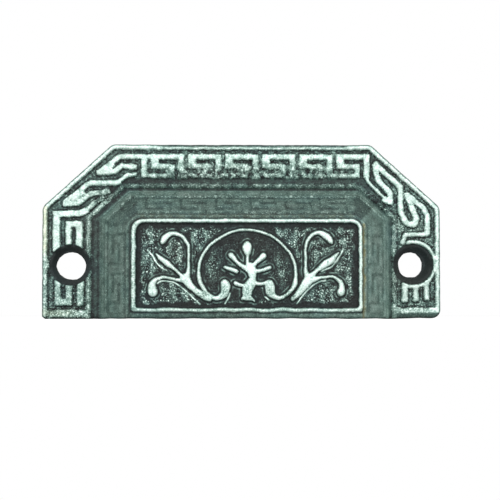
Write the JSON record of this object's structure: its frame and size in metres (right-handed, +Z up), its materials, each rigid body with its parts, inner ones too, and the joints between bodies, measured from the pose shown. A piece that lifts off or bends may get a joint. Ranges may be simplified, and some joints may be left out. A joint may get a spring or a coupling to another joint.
{
  "type": "drawer pull",
  "caption": "Cast iron bin pull: a flat flange with cut upper corners and a key border round a hooded finger cup, with a scrollwork panel on its front.",
  "frame": {"origin": "midway between the two screw holes, on the flange's back face", "axes": "+X to the right as seen from the front, +Y back into the drawer, +Z up; the front faces -Y"},
  "size_m": [0.1016, 0.022, 0.0446],
  "materials": {
    "casting": "dark green-grey patina, rubbed pale on the raised ornament"
  },
  "bodies": {
    "root": {"pull_casting": "casting"}
  },
  "joints": []
}
